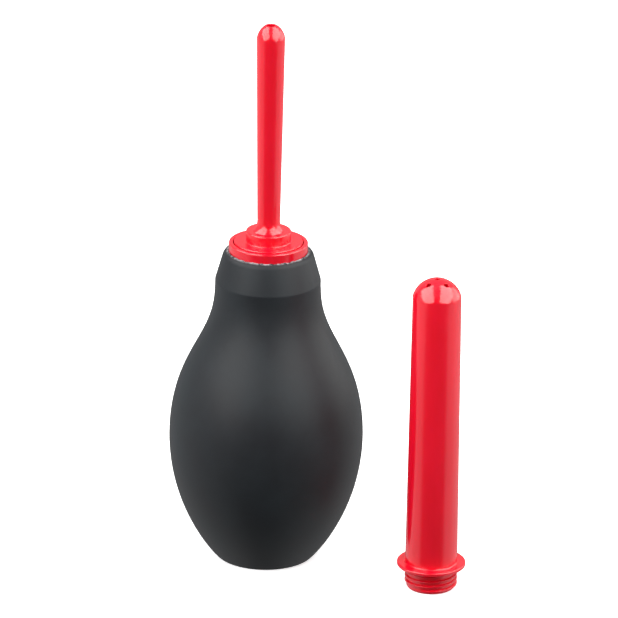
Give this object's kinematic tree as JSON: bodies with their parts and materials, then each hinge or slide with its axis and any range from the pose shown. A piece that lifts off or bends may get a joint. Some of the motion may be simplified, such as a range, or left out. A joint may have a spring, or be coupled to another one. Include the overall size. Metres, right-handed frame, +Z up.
{
  "type": "squeeze bulb with screw-in nozzles",
  "caption": "Soft rubber squeeze bulb with a threaded plastic collar in its neck, a slim nozzle screwed in it and a wider rose-ended nozzle standing beside it.",
  "frame": {"origin": "centre of the bulb's flat base, on the surface that it stands on", "axes": "+Z up along the bulb and the slim nozzle; the wide nozzle stands towards +X and -Y"},
  "size_m": [0.1284, 0.0917, 0.2414],
  "materials": {
    "black_rubber": "soft black rubber with a fine matt moulded skin",
    "red_plastic": "glossy moulded red plastic",
    "seal_rubber": "plain black sheet rubber"
  },
  "bodies": {
    "bulb": {"bulb": "black_rubber"},
    "collar": {"collar": "red_plastic"},
    "seal": {"nozzle_seal": "seal_rubber"},
    "slim_nozzle": {"slim_nozzle": "red_plastic"},
    "wide_nozzle": {"wide_nozzle": "red_plastic"}
  },
  "joints": [
    {"name": "bulb_squeeze", "type": "slide", "parent": "bulb", "child": "collar", "axis": [0, 0, 1], "range_m": [-0.03, 0], "stiffness_N_per_m": 1200, "deforming": ["bulb"]},
    {"name": "nozzle_rise", "type": "slide", "parent": "collar", "child": "seal", "axis": [0, 0, 1], "range_m": [0, 0.0088]},
    {"name": "nozzle_turn", "type": "hinge", "parent": "seal", "child": "slim_nozzle", "pos_m": [0, 0, 0.14], "axis": [0, 0, 1], "range_deg": [0, 1440]},
    {"name": "wide_nozzle_lift", "type": "slide", "parent": "bulb", "child": "wide_nozzle", "axis": [0, 0, 1], "range_m": [0, 0.15]}
  ],
  "couplings": [
    {"joint": "nozzle_rise", "follows": "nozzle_turn", "m_per_rad": 0.00035014}
  ]
}
